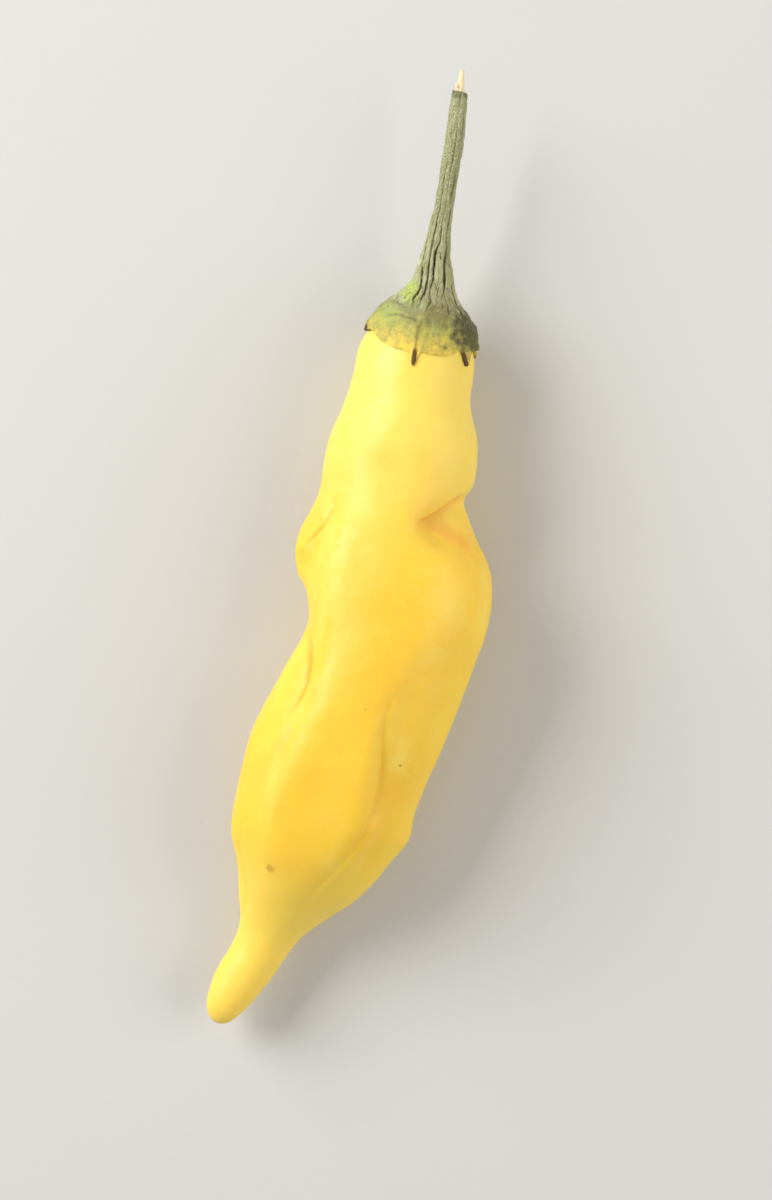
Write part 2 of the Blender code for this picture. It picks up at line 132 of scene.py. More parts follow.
# Creases of the pod's upper side, finer than its solid holds, in the same way. Power 1
# is a sharp crease and 2 a soft groove.
CREASES = [
    {  # under the shoulder's lobe, on the right
        "path": [
            (9.7, -16.7, 0.3),
            (8.9, -17.5, 0.55),
            (8.0, -18.5, 0.6),
            (7.0, -19.6, 0.6),
            (6.1, -20.5, 0.55),
            (5.3, -21.0, 0.35),
            (4.5, -21.4, 0.0),
        ],
        "reach": (0.7, 0.2),
        "power": 1,
    },
    {  # below the hollow, round the belly's lobe
        "path": [
            (6.3, -22.2, 0.0),
            (7.6, -22.7, 0.12),
            (9.4, -22.7, 0.16),
            (10.9, -23.4, 0.16),
            (12.0, -24.6, 0.1),
            (12.8, -26.6, 0.0),
        ],
        "reach": (0.8, 0.35),
        "power": 1,
    },
    {  # inside the small lobe on the left
        "path": [
            (-7.3, -20.6, 0.0),
            (-6.8, -20.9, 0.08),
            (-5.9, -21.2, 0.14),
            (-5.5, -22.2, 0.18),
            (-5.9, -24.2, 0.24),
            (-6.7, -25.8, 0.2),
            (-7.5, -27.2, 0.1),
            (-7.8, -28.4, 0.08),
            (-7.6, -29.6, 0.06),
            (-7.1, -31.2, 0.0),
        ],
        "reach": (0.5, 0.18),
        "power": 1,
    },
    {  # the long fold down the left
        "path": [
            (-5.2, -35.6, 0.2),
            (-4.9, -36.8, 0.42),
            (-4.1, -38.8, 0.5),
            (-3.5, -40.8, 0.5),
            (-3.3, -43.0, 0.44),
            (-3.5, -45.0, 0.34),
            (-4.1, -46.9, 0.18),
            (-4.9, -48.8, 0.0),
            (-5.5, -52.5, 0.0),
            (-6.4, -57.0, 0.0),
            (-6.6, -61.0, 0.06),
            (-6.4, -64.5, 0.2),
            (-5.0, -67.4, 0.28),
            (-4.0, -70.0, 0.25),
            (-3.3, -72.9, 0.0),
        ],
        "reach": (0.2, 0.65),
        "power": 1,
    },
    {  # the soft furrow that runs on from the flap's end
        "path": [
            (-3.9, -46.4, 0.05),
            (-4.8, -47.8, 0.14),
            (-6.2, -49.8, 0.2),
            (-7.3, -52.0, 0.2),
            (-7.6, -54.5, 0.18),
            (-7.5, -57.0, 0.12),
            (-7.0, -60.0, 0.0),
        ],
        "reach": (0.8, 0.9),
        "power": 2,
    },
    {  # the long groove down the right
        "path": [
            (8.2, -40.0, 0.0),
            (7.2, -43.0, 0.16),
            (7.0, -45.0, 0.3),
            (7.3, -47.0, 0.45),
            (8.1, -50.5, 0.52),
            (8.6, -53.8, 0.52),
            (8.6, -56.6, 0.48),
            (8.0, -59.6, 0.4),
            (7.3, -61.4, 0.34),
            (6.2, -63.6, 0.26),
            (4.2, -66.7, 0.16),
            (2.7, -69.9, 0.1),
            (1.9, -72.5, 0.0),
        ],
        "reach": (0.42, 1.1),
        "power": 1.5,
    },
]

# Places on the pod's upper side where the skin is painted deeper in colour, and where paler: x, y
# and share, with how far they reach on either side. The deeper places hold painted shade in the
# hollow under the shoulder's lobe, and the paler ones a painted highlight down the left ridge.
DEEPER_AND_SHADED = [
    {
        "path": [
            (1.5, -19.0, 0.0),
            (1.5, -26.0, 0.2),
            (3.0, -36.0, 0.4),
            (4.3, -45.0, 0.4),
            (5.5, -52.0, 0.2),
            (5.0, -60.0, 0.15),
            (1.5, -67.0, 0.1),
            (-1.0, -72.0, 0.0),
        ],
        "reach": (3.2, 3.6),
    },
    # Painted shade in the hollow under the shoulder's lobe.
    {
        "path": [(5.6, -21.3, 0.9), (7.6, -21.4, 1.0), (10.0, -22.1, 0.9), (12.6, -24.0, 0.5)],
        "reach": (1.4, 1.0),
    },
    {"path": [(-7.3, -46.0, 0.2), (-8.0, -54.0, 0.25), (-7.3, -60.0, 0.1)], "reach": (1.2, 1.6)},
    {"path": [(9.6, -43.0, 0.2), (10.8, -54.0, 0.45), (8.6, -61.0, 0.3)], "reach": (1.6, 1.6)},
]
PALER_AND_HIGHLIGHT = [
    {"path": [(8.5, -28.0, 0.35), (11.0, -33.0, 0.5), (10.5, -39.0, 0.3)], "reach": (3.4, 2.4)},
    # A painted highlight down the lit left ridge.
    {
        "path": [(-6.0, -13.0, 0.3), (-5.2, -19.0, 0.7), (-4.1, -27.0, 0.7), (-2.6, -34.0, 0.2)],
        "reach": (1.7, 2.2),
    },
    {"path": [(9.9, -47.5, 0.6), (10.6, -51.5, 0.6)], "reach": (1.3, 1.2)},
]

# The skin's marks on the upper side: x and y.
SCAR = (-2.05, -66.15)
DOT = (9.9, -50.2)
DOT_HALO = (9.5, -49.8)
SPECK = (4.2, -44.6)
FAINT_SPECK = (-3.6, -7.8)

# The pod's faces nearer to a crease than this are cut finer, once for each distance.
FINER_WITHIN = (1.1, 0.5)
# The size of the skin's broad and small lumps, and the small ones' share of the height.
BROAD_LUMPS = 9
SMALL_LUMPS = 2.5
SMALL_SHARE = 0.3
# How strongly a soft groove gets painted shade, where a sharp crease has 1.
SOFT_GROOVE_SHADE = 0.6

# The stem's rings from its hem on the calyx to its torn end: y, x, z and radius.
STEM_RINGS = np.array(
    [
        (3.0, -0.12, 8.3, 5.75),
        (4.1, -0.2, 8.42, 5.0),
        (4.9, -0.3, 8.5, 4.12),
        (5.5, -0.35, 8.6, 3.5),
        (6.2, -0.4, 8.65, 3.02),
        (7.0, -0.47, 8.72, 2.66),
        (8.5, -0.67, 8.95, 2.26),
        (10.5, -1.0, 9.35, 1.78),
        (13.0, -1.27, 9.9, 1.38),
        (15.5, -1.42, 10.45, 1.18),
        (18.3, -1.72, 11.05, 1.13),
        (21.2, -1.96, 11.55, 1.17),
        (24.1, -2.2, 11.9, 1.17),
        (27.0, -2.7, 12.15, 1.07),
        (29.3, -3.0, 12.3, 0.93),
    ]
)
# Its grooves: degrees round at y 5, 8.5, 12.5 and 29, and their depth.
STEM_GROOVES = [
    (38, 18, 5, -8, 0.9),
    (63, 55, 49, 42, 1.0),
    (90, 94, 84, 80, 1.0),
    (104, 112, 116, 118, 0.9),
    (113, 138, 156, 160, 1.0),
    (137, 163, 186, 196, 0.4),
    (165, 190, 215, 236, 1.0),
    (195, 215, 242, 270, 0.8),
    (225, 240, 266, 304, 1.0),
    (258, 268, 290, 330, 0.8),
    (290, 296, 312, 346, 1.0),
    (325, 326, 334, 370, 0.6),
    (352, 345, 350, 380, 0.9),
]
GROOVE_STATIONS = (5, 8.5, 12.5, 29)
# How far a groove may wander off its line, in degrees.
GROOVE_WANDER = 8
# By y: the grooves' width, their depth as a share, and how much painted shade their lines get.
GROOVE_WIDTHS = np.array([(3, 0.14), (6, 0.13), (12, 0.11), (29, 0.1)])
GROOVE_DEPTHS = np.array(
    [(3.2, 0.6), (4.4, 0.9), (6, 1), (10, 1), (14, 0.6), (18, 0.3), (28.6, 0.24)]
)
GROOVE_SHADE = np.array([(10, 1), (16, 0.5), (29, 0.35)])
# The rows of faces along the stem: how far apart, below and above this y.
ROW_STEPS = (0.26, 0.5)
ROWS_CHANGE_AT = 12
POINTS_ROUND = 150
# How the skin turns in over the torn end: the next ring's move in y and its size.
TORN_EDGE = ((-0.05, 0.86), (-0.35, 0.9))
# How far the foot's hem is sunk in the calyx.
FOOT_SINK = 0.12

# The calyx's and the foot's outline: y and radius.
GREEN_OUTLINE = np.array(
    [(-1, 7.1), (1, 6.7), (2, 6.35), (3, 5.8), (4, 5.1), (5, 4.1), (6, 3.1), (8, 2.3)]
)
# Patches of colour on the calyx and the foot: x, y, how far from there the patch is full, how far
# out it ends, what x, y and z count for in that distance, strength and colour. The olive patch
# under the lime patch is painted shade of the wrinkles there, and the moss patch on the right is
# painted shade of the side away from the light.
GREEN_PATCHES = (
    (-2.8, 4.9, 0.8, 1.8, (1.2, 0.75, 0.5), 0.95, "lime"),
    (-4.9, 2.2, 0.4, 1.9, (0.8, 1.1, 0.5), 0.5, "lime"),
    # Painted shade of the wrinkles under the lime patch.
    (-3.1, 2.9, 0.3, 1.3, (0.6, 1.5, 0.6), 0.7, "olive"),
    (1.2, 2.7, 0.6, 2.4, (0.8, 1.25, 0.6), 0.42, "bark"),
    (0.9, 4.9, 0.6, 2.2, (0.6, 0.8, 0.6), 0.42, "bark"),
    (4.3, 1.2, 0.4, 1.8, (1.2, 0.8, 0.6), 0.5, "bark"),
    # Painted shade on the calyx's right side, away from the light.
    (5.6, 2.6, 1.2, 3.4, (0.9, 0.75, 0.5), 0.85, "moss_and_shade"),
    (-0.9, 0.9, 0.1, 1.1, (1.6, 0.5, 0.6), 0.6, "bark"),
    (2.75, -0.7, 0.1, 0.42, (1, 1, 0.3), 0.8, "brown"),
)

# The line inside the calyx, x and z, that its outer faces look away from.
CALYX_AXIS = (-0.1, 8.2)
# The z of the middle of the calyx and of the stem's foot.
FOOT_Z = STEM_RINGS[0, 2]

# How far the calyx's edge on the upper side is moved towards the tip: x and distance.
HEM_SHIFT = np.array(
    [
        (-7.3, -0.6),
        (-6.5, -0.2),
        (-5.0, 0.5),
        (-3.3, 0.85),
        (-1.4, 0.7),
        (1.7, 0.6),
        (4.4, 0.25),
        (6.5, 0.1),
    ]
)
# The teeth on the upper side: x of the middle, further move of the tip in x and y, and
# how far the tooth is pinched.
UPPER_TEETH = [(-0.75, 0.35, -0.5, 0.55), (5.6, 0.3, -0.35, 0.6)]
TOOTH_WIDTH = 0.8
# The notches on both sides of a tooth: how far from its middle, width and depth.
NOTCH_ASIDE = 0.85
NOTCH_WIDTH = 0.4
NOTCH_DEPTH = 0.55
# The calyx's wider right side: degrees round, how many degrees it reaches, and distance.
RIGHT_SIDE = (12, 35, 0.36)
# How far the calyx's edge lies off the pod, and its lining inside the pod.
EDGE_GAP = 0.17
LINING_SINK = 0.4
# Ribs down the middle of the teeth, as the pod's creases, and the y between which each
# turns dark brown towards its tip.
TOOTH_RIBS = [
    {
        "path": [(-1.0, 2.4, 0.0), (-0.95, 1.0, -0.1), (-0.7, -1.0, -0.16), (-0.4, -3.0, -0.2)],
        "dark": (-0.9, -1.7),
    },
    {
        "path": [(4.1, 2.2, 0.0), (4.5, 1.0, -0.16), (5.1, -0.3, -0.2), (6.0, -2.2, -0.2)],
        "dark": (0.3, -0.7),
    },
    {"path": [(-6.6, 1.6, 0.0), (-7.0, 0.4, -0.16), (-7.2, -0.8, -0.16)], "dark": (0.6, -0.4)},
    {"path": [(6.7, 2.0, 0.0), (6.9, 0.8, -0.12), (6.9, -0.6, -0.12)], "dark": (0.8, -0.4)},
]
DARK_REACH = 0.3
# Wrinkles of the calyx on the upper side, as the pod's creases.
WRINKLES = [
    {  # under the lime patch
        "path": [
            (-5.8, 1.4, 0.0),
            (-4.9, 1.9, 0.2),
            (-3.9, 2.35, 0.25),
            (-2.7, 2.4, 0.3),
            (-1.5, 2.2, 0.25),
            (-1.1, 1.4, 0.1),
        ],
        "reach": (0.16, 0.35),
    },
    {"path": [(-4.9, 4.6, 0.0), (-4.3, 3.7, 0.2), (-3.2, 3.3, 0.22), (-2.1, 3.4, 0.0)]},
    {"path": [(-6.0, 2.6, 0.0), (-5.2, 2.9, 0.2), (-4.4, 2.9, 0.1), (-3.9, 3.2, 0.0)]},
    {"path": [(-4.6, 0.6, 0.0), (-4.1, 1.2, 0.15), (-3.1, 1.3, 0.15), (-2.4, 0.7, 0.0)]},
    {"path": [(-5.4, -0.2, 0.0), (-5.0, 0.7, 0.12), (-5.3, 1.3, 0.0)]},
    {  # the ring-like vein near the edge
        "path": [
            (1.2, -0.8, 0.0),
            (1.3, -0.2, 0.14),
            (1.9, 0.15, 0.14),
            (2.6, 0.0, 0.14),
            (2.9, -0.5, 0.14),
            (2.6, -1.0, 0.1),
        ],
    },
    {"path": [(0.2, 2.6, 0.0), (0.6, 1.6, 0.14), (0.4, 0.6, 0.12), (0.7, -0.2, 0.0)]},
    {"path": [(3.3, 3.6, 0.0), (3.7, 2.6, 0.22), (3.5, 1.5, 0.16), (3.8, 0.4, 0.0)]},
    {"path": [(4.4, 4.0, 0.0), (4.9, 3.0, 0.25), (5.0, 2.0, 0.2), (5.5, 1.0, 0.0)]},
    {"path": [(2.0, 3.3, 0.0), (2.4, 2.4, 0.16), (2.1, 1.5, 0.0)]},
]
# The reach of wrinkles and ribs that state none.
WRINKLE_REACH = (0.2, 0.2)

# The calyx's teeth on the sides and underneath, which only their dark tips need: degrees
# round, y of the tip and width in degrees.
HIDDEN_TEETH = [
    (165, -1.3, 9),
    (-20, -1.3, 9),
    (-85, -1.4, 8),
    (-140, -1.4, 9),
]

# The lights: name, place to the right of the aim, up the picture and above it in metres,
# size in metres, share of the main light's power, and colour.
LIGHTS = (
    ("key", (-0.5, 0.3, 0.38), 0.45, 1.0, (1.0, 0.98, 0.94)),
    ("fill", (0.5, 0.0, 0.34), 0.5, 0.38, (1.0, 0.90, 0.74)),
)

# Vertices closer than this many millimetres are one, and weights up to these are left out.
SAME_PLACE = 0.002
LEAST_WEIGHT = 0.001
LEAST_PUSH = 0.0005

# The sockets of a mix node that hold colours.
MIX_FIRST, MIX_SECOND, MIX_RESULT = 6, 7, 2


def colour(name, what, value):
    return FloatVectorProperty(
        name=name, description=what, subtype="COLOR", size=4, min=0, max=1, default=(*value, 1)
    )


def length(name, what, value):
    return FloatProperty(
        name=name, description=what, subtype="DISTANCE", unit="LENGTH", default=value
    )


class PodSettings(bpy.types.PropertyGroup):
    gold: colour("Gold", "The skin's deepest colour", (0.92, 0.51, 0.023))
    lemon: colour("Lemon", "The skin's lightest colour", (0.94, 0.632, 0.045))
    pale: colour("Pale", "Pale mottling under the skin", (0.94, 0.73, 0.15))
    # Painted shade, mixed into the creases and into the hollow under the shoulder's lobe.
    shade: colour("Shade", "The skin deep in a crease", (0.72, 0.27, 0.012))
    scar: colour("Scar", "Brown of the scar and the dots", (0.5, 0.25, 0.025))
    roughness: FloatProperty(
        name="Roughness", description="Of the waxy skin", default=0.5, min=0, max=1
    )
    smoothing: IntProperty(
        name="Subdivision", description="Levels of the pod's subdivision", default=2
    )
    undulation: length("Undulation", "Height of the skin's broad unevenness", 0.28 * MM)


class GreenSettings(bpy.types.PropertyGroup):
    lime: colour("Lime", "The calyx where it is fresh", (0.44, 0.54, 0.12))
    olive: colour("Olive", "The calyx and the stem where they are older", (0.26, 0.262, 0.1))
    straw: colour("Straw", "The thin band along the calyx's edge", (0.65, 0.51, 0.085))
    edge: colour("Edge", "The calyx's edge, where it runs out on the pod", (0.84, 0.60, 0.08))
    lemon_green: colour("Lemon green", "The calyx above its edge", (0.45, 0.43, 0.095))
    bark: colour("Bark", "Dried patches of the calyx", (0.17, 0.125, 0.035))
    brown: colour("Brown", "The calyx's teeth", (0.10, 0.052, 0.012))
    sage: colour("Sage", "Ridges of the stem", (0.44, 0.44, 0.25))
    pale_sage: colour("Pale sage", "Light grain of the stem", (0.57, 0.60, 0.39))
    # Moss green, also used as painted shade in the grooves and wrinkles and on the calyx's right
    # side.
    moss_and_shade: colour("Moss", "Grooves of the stem", (0.055, 0.06, 0.02))
    wood: colour("Wood", "Torn wood in the stem", (0.93, 0.76, 0.50))
    dark_wood: colour("Dark wood", "Darker fibres of the torn wood", (0.74, 0.50, 0.26))
    groove: length("Groove", "Depth of the stem's grooves at its foot", 0.32 * MM)


class StageSettings(bpy.types.PropertyGroup):
    floor: colour("Floor", "Colour of the floor", (0.62, 0.62, 0.61))
    cloud: colour("Floor clouding", "Faint clouds on the floor", (0.56, 0.56, 0.55))
    room: colour("Room", "Colour of the light from all round", (0.92, 0.95, 1.0))
    room_light: FloatProperty(
        name="Room light", description="Strength of the light from all round", default=0.42
    )
    lens: FloatProperty(name="Lens", description="Focal length", default=80, unit="CAMERA")
    roll: FloatProperty(
        name="Roll",
        description="Turn of the camera about its line of sight",
        subtype="ANGLE",
        default=math.radians(14.3),
    )
    key: FloatProperty(
        name="Key light", description="Power of the main light", default=5.5, unit="POWER"
    )


def place(x, y, z):
    """A point of the tables in the frame, in metres."""
    return Vector((x + RIM_MIDDLE[0], y + RIM_MIDDLE[1], z)) * MM


BUD_SCAR = place(-2.75, 8.9, 10.2)


def as_seen(points):
    """Where the camera sees each point, at its aim's height, as the tables give places."""
    flat = points[:, :2] / MM - RIM_MIDDLE
    closer = CAMERA_DISTANCE / (CAMERA_DISTANCE - (points[:, 2] / MM - AIM_HEIGHT))
    return AIM + (flat - AIM) * closer[:, None]


def frame_y(y):
    """A y of the tables in the frame, in metres."""
    return place(0, y, 0).y


def points_of(piece):
    """The places of the piece's vertices, in metres."""
    points = np.empty(len(piece.data.vertices) * 3)
    piece.data.vertices.foreach_get("co", points)
    return points.reshape(-1, 3)


def normals_of(piece):
    """The directions in which the piece's vertices face."""
    normals = np.empty(len(piece.data.vertices) * 3, np.float32)
    piece.data.vertex_normals.foreach_get("vector", normals)
    return normals.reshape(-1, 3)


def select_none():
    """Leaves edit mode with no object selected."""
    if bpy.context.mode != "OBJECT":
        bpy.ops.object.mode_set(mode="OBJECT")
    for other in bpy.context.view_layer.objects:
        other.select_set(False)


def select_only(piece):
    """Leaves edit mode with this piece selected and active."""
    select_none()
    piece.select_set(True)
    bpy.context.view_layer.objects.active = piece


def copy_of_solid(node, name):
    """A copy of a solid with its loose triangles merged into quads."""
    solid = frame["nodes"][node]
    piece = bpy.data.objects.new(name, solid.data.copy())
    bpy.context.scene.collection.objects.link(piece)
    piece.data.name = name
    piece.data.materials.clear()
    select_only(piece)
    bpy.ops.mesh.customdata_custom_splitnormals_clear()
    bpy.ops.object.mode_set(mode="EDIT")
    bpy.ops.mesh.select_all(action="SELECT")
    bpy.ops.mesh.remove_doubles(threshold=SAME_PLACE * MM)
    bpy.ops.mesh.tris_convert_to_quads(face_threshold=math.pi, shape_threshold=math.pi)
    bpy.ops.mesh.normals_make_consistent(inside=False)
    bpy.ops.mesh.faces_shade_smooth()
    bpy.ops.object.mode_set(mode="OBJECT")
    return piece


def subdivide(piece, levels):
    """Cuts each face of the piece in four, this many times, and rounds it."""
    select_only(piece)
    finer = piece.modifiers.new("Subdivision", "SUBSURF")
    finer.levels = finer.render_levels = levels
    bpy.ops.object.modifier_apply(modifier=finer.name)


def weigh(piece, name, weights, least=LEAST_WEIGHT):
    """Makes a vertex group of the weights above the least."""
    group = piece.vertex_groups.new(name=name)
    for index in np.flatnonzero(weights > least):
        group.add([int(index)], float(weights[index]), "REPLACE")


def push(piece, name, heights, direction="NORMAL"):
    """Moves each vertex by its height, in metres, with displace modifiers."""
    select_only(piece)
    for side in (1, -1):
        part = np.clip(side * heights, 0, None)
        most = float(part.max())
        if most == 0:
            continue
        weigh(piece, name, part / most, LEAST_PUSH)
        mover = piece.modifiers.new(name, "DISPLACE")
        mover.vertex_group = name
        mover.direction = direction
        mover.mid_level = 0
        mover.strength = side * most
        bpy.ops.object.modifier_apply(modifier=mover.name)
        piece.vertex_groups.remove(piece.vertex_groups[name])


def roughen(piece, name, size, height, weights=None):
    """Moves the vertices in and out by a cloudy pattern of this size and height."""
    select_only(piece)
    pattern = bpy.data.textures.new(name, "CLOUDS")
    pattern.noise_scale = size
    pattern.noise_depth = 2
    mover = piece.modifiers.new(name, "DISPLACE")
    mover.texture = pattern
    mover.texture_coords = "LOCAL"
    mover.mid_level = 0.5
    mover.strength = height
    if weights is not None:
        weigh(piece, name, weights)
        mover.vertex_group = name
    bpy.ops.object.modifier_apply(modifier=mover.name)
    if weights is not None:
        piece.vertex_groups.remove(piece.vertex_groups[name])


def remember(piece, name, values):
    """Keeps a number for each vertex, which the material reads."""
    kept = piece.data.attributes.new(name, "FLOAT", "POINT")
    kept.data.foreach_set("value", np.asarray(values, np.float32))


def smooth_step(low, high, values):
    """0 at low and 1 at high, with soft ends."""
    share = np.clip((values - low) / (high - low), 0, 1)
    return share * share * (3 - 2 * share)


def bell(offset, width):
    """1 in the middle, falling softly to little past this width."""
    return np.exp(-((offset / width) ** 2))


def by_table(values, table):
    """Each value's number in a table of two columns."""
    return np.interp(values, *table.T)


def crease_push(places, crease):
    """How far a crease moves each place out, in millimetres, and how far off it is."""
    path = np.array(crease["path"], float)
    nearest = np.full(len(places), np.inf)
    result = np.zeros(len(places))
    for start, end in zip(path[:-1], path[1:]):
        run = (end - start)[:2]
        share = np.clip((places - start[:2]) @ run / (run @ run), 0, 1)
        offset = places - start[:2] - share[:, None] * run
        distance = np.hypot(offset[:, 0], offset[:, 1])
        left, right = crease.get("reach", WRINKLE_REACH)
        aside = (run[0] * offset[:, 1] - run[1] * offset[:, 0]) / np.hypot(*run)
        leftness = 0.5 + 0.5 * aside / np.maximum(distance, 1e-6)
        reach = right + (left - right) * leftness
        depth = start[2] + share * (end[2] - start[2])
        fall = np.exp(-((distance / reach) ** crease.get("power", 2)))
        closer = distance < nearest
        nearest[closer] = distance[closer]
        result[closer] = (-depth * fall)[closer]
    return result, nearest


def upper_side(piece):
    """1 on the side that the camera sees and 0 underneath."""
    return smooth_step(-0.15, 0.25, normals_of(piece)[:, 2])


def refine_near_creases(piece, reach):
    """Cuts the faces within this many millimetres of a crease in four."""
    select_only(piece)
    seen = as_seen(points_of(piece))
    near = np.full(len(seen), np.inf)
    for crease in CREASES:
        near = np.minimum(near, crease_push(seen, crease)[1])
    chosen = (near < reach) & (upper_side(piece) > 0)
    bpy.ops.object.mode_set(mode="EDIT")
    bpy.ops.mesh.select_mode(type="FACE")
    bpy.ops.mesh.select_all(action="DESELECT")
    bpy.ops.object.mode_set(mode="OBJECT")
    for face in piece.data.polygons:
        face.select = bool(chosen[list(face.vertices)].all())
    bpy.ops.object.mode_set(mode="EDIT")
    bpy.ops.mesh.subdivide(number_cuts=1, smoothness=1)
    bpy.ops.mesh.select_mode(type="VERT")
    bpy.ops.object.mode_set(mode="OBJECT")


def top_place(piece, x, y):
    """The point of the piece's upper side that the camera sees at x, y."""
    points = points_of(piece)
    seen = as_seen(points)
    apart = np.hypot(seen[:, 0] - x, seen[:, 1] - y)
    apart[normals_of(piece)[:, 2] < 0] = np.inf
    return Vector(points[apart.argmin()])


class Finish:
    """A material's node tree, built from Object coordinates."""

    def __init__(self, name):
        self.material = bpy.data.materials.new(name)
        self.material.use_nodes = True
        self.tree = self.material.node_tree
        self.shader = self.tree.nodes["Principled BSDF"]
        self.object_place = self.node("ShaderNodeTexCoord").outputs["Object"]

    def node(self, kind, inputs=(), **settings):
        made = self.tree.nodes.new(kind)
        for setting, value in settings.items():
            setattr(made, setting, value)
        for socket, value in dict(inputs).items():
            self.put(made.inputs[socket], value)
        return made

    def put(self, socket, value):
        if isinstance(value, bpy.types.NodeSocket):
            self.tree.links.new(value, socket)
        else:
            socket.default_value = value

    def stretched(self, scale, turn=(0, 0, 0)):
        made = self.node("ShaderNodeMapping", {"Vector": self.object_place})
        made.inputs["Scale"].default_value = scale
        made.inputs["Rotation"].default_value = turn
        return made.outputs["Vector"]

    def clouds(self, size, detail=3, roughness=0.5, at=None, distortion=0.0):
        """A cloudy pattern whose blobs are about this many millimetres."""
        inputs = {
            "Vector": at or self.object_place,
            "Scale": 1 / (size * MM),
            "Detail": detail,
            "Roughness": roughness,
            "Distortion": distortion,
        }
        return self.node("ShaderNodeTexNoise", inputs).outputs["Fac"]

    def cells(self, size, at):
        """How far each place is from the gaps of a scaly pattern, in parts of its size."""
        inputs = {"Vector": at, "Scale": 1 / (size * MM)}
        made = self.node("ShaderNodeTexVoronoi", inputs, feature="DISTANCE_TO_EDGE")
        return made.outputs["Distance"]

    def spread(self, value, low, high, to_low=0.0, to_high=1.0):
        inputs = {
            "Value": value,
            "From Min": low,
            "From Max": high,
            "To Min": to_low,
            "To Max": to_high,
        }
        made = self.node("ShaderNodeMapRange", inputs, interpolation_type="SMOOTHSTEP")
        return made.outputs["Result"]

    def times(self, first, second):
        made = self.node("ShaderNodeMath", {0: first, 1: second}, operation="MULTIPLY")
        return made.outputs["Value"]

    def plus(self, first, second):
        made = self.node("ShaderNodeMath", {0: first, 1: second}, operation="ADD")
        return made.outputs["Value"]

    def mix(self, share, first, second):
        """The second colour over the first, by this share."""
        inputs = {"Factor": share, MIX_FIRST: first, MIX_SECOND: second}
        return self.node("ShaderNodeMix", inputs, data_type="RGBA").outputs[MIX_RESULT]

    def attribute(self, name):
        return self.node("ShaderNodeAttribute", attribute_name=name).outputs["Fac"]

    def near(self, middle, low, high, squash=(1, 1, 1), ragged=0.0, grain=0.5):
        """1 within low millimetres of the middle and 0 past high, with a ragged edge."""
        apart = self.node("ShaderNodeVectorMath", operation="SUBTRACT")
        self.put(apart.inputs[0], self.object_place)
        self.put(apart.inputs[1], middle)
        sized = self.node("ShaderNodeVectorMath", operation="MULTIPLY")
        self.put(sized.inputs[0], apart.outputs["Vector"])
        self.put(sized.inputs[1], [share / MM for share in squash])
        far = self.node("ShaderNodeVectorMath", operation="LENGTH")
        self.put(far.inputs[0], sized.outputs["Vector"])
        distance = far.outputs["Value"]
        if ragged:
            uneven = self.spread(self.clouds(grain), 0.25, 0.75, -ragged, ragged)
            distance = self.plus(distance, uneven)
        return self.spread(distance, high, low)

    def bump(self, height, size, before=None):
        """A bump of this height in millimetres, on top of an earlier one."""
        inputs = {"Height": height, "Distance": size * MM, "Strength": 1.0}
        made = self.node("ShaderNodeBump", inputs)
        if before:
            self.put(made.inputs["Normal"], before)
        return made.outputs["Normal"]

    def finish(self, colour, roughness, normal, **constants):
        self.put(self.shader.inputs["Base Color"], colour)
        self.put(self.shader.inputs["Roughness"], roughness)
        self.put(self.shader.inputs["Normal"], normal)
        for socket, value in constants.items():
            self.shader.inputs[socket.replace("_", " ")].default_value = value
        return self.material


